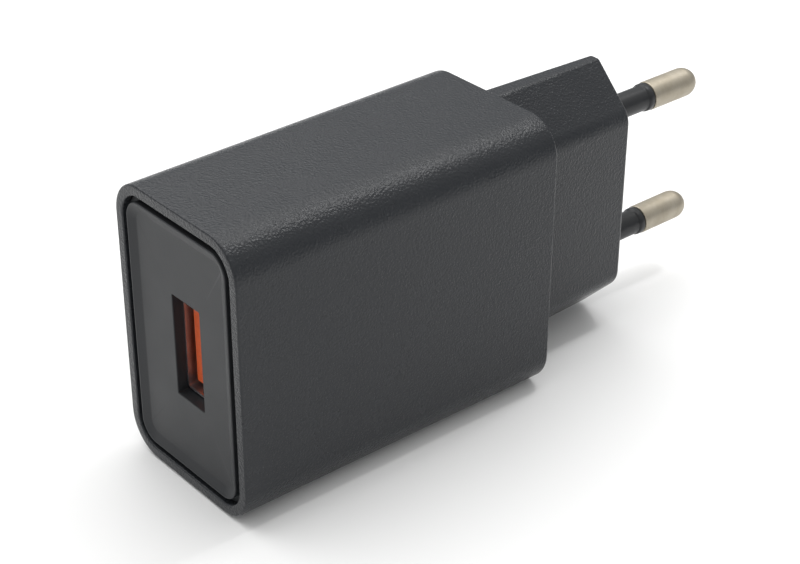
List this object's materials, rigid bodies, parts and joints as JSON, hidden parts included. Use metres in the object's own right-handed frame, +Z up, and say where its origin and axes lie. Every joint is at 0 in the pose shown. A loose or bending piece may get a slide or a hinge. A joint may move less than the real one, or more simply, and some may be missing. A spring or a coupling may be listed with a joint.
{
  "type": "usb wall charger",
  "caption": "Mains wall charger with a drafted rounded-rectangle housing, six-sided plug neck, round sleeved pins and an upright USB-A socket in a flat front panel.",
  "frame": {"origin": "centre of the overall box in plan, at the level of the lowest edge, with the charger on its narrow side", "axes": "+Y from the USB panel towards the mains pins, +X to the right seen from the front, +Z up along the line of the two pins"},
  "size_m": [0.0246, 0.0852, 0.0377],
  "materials": {
    "housing_plastic": "spark-eroded satin, charcoal",
    "panel_plastic": "fine satin, charcoal",
    "sleeve_plastic": "satin, black",
    "pin_nickel": "satin nickel plate over brass",
    "socket_steel": "bright nickel plate",
    "tongue_plastic": "semi-gloss, orange",
    "contact_gold": "gold flash",
    "spring_bronze": "plain",
    "board_laminate": "solder-resist green",
    "ferrite": "matte sintered",
    "bobbin_plastic": "moulded phenolic",
    "winding_copper": "enamelled",
    "tape_yellow": "polyester tape",
    "tinned_wire": "tinned",
    "solder": "bright",
    "capacitor_sleeve": "printed film sleeve, left plain",
    "disc_blue": "epoxy dip",
    "resistor_body": "lacquer",
    "chip_black": "moulded epoxy",
    "chip_ceramic": "sintered",
    "sheet_film": "polyester film"
  },
  "bodies": {
    "root": {"main_case": "housing_plastic", "front_panel": "panel_plastic", "pin_upper": "pin_nickel", "pin_lower": "pin_nickel", "pin_sleeve_upper": "sleeve_plastic", "pin_sleeve_lower": "sleeve_plastic", "pin_contact_upper": "spring_bronze", "pin_contact_lower": "spring_bronze", "usb_shell": "socket_steel", "usb_tongue": "tongue_plastic", "usb_contacts": "contact_gold", "main_board": "board_laminate", "transformer_core_upper": "ferrite", "transformer_core_lower": "ferrite", "transformer_bobbin": "bobbin_plastic", "transformer_winding": "winding_copper", "winding_tape": "tape_yellow", "transformer_pins": "tinned_wire", "capacitor_leads": "tinned_wire", "inductor_core": "ferrite", "inductor_winding": "winding_copper", "y_capacitor": "disc_blue", "y_capacitor_leads": "tinned_wire", "fuse_resistor": "resistor_body", "fuse_leads": "tinned_wire", "optocoupler": "chip_black", "optocoupler_legs": "tinned_wire", "chip_leads": "tinned_wire", "chip_resistors": "chip_black", "chip_capacitors": "chip_ceramic", "solder_joints": "solder", "insulation_sheet": "sheet_film", "input_capacitor_1": "capacitor_sleeve", "input_capacitor_2": "capacitor_sleeve", "output_capacitor_1": "capacitor_sleeve", "output_capacitor_2": "capacitor_sleeve", "switching_controller": "chip_black", "sync_rectifier": "chip_black", "protocol_chip": "chip_black", "bridge_rectifier": "chip_black"}
  },
  "joints": []
}
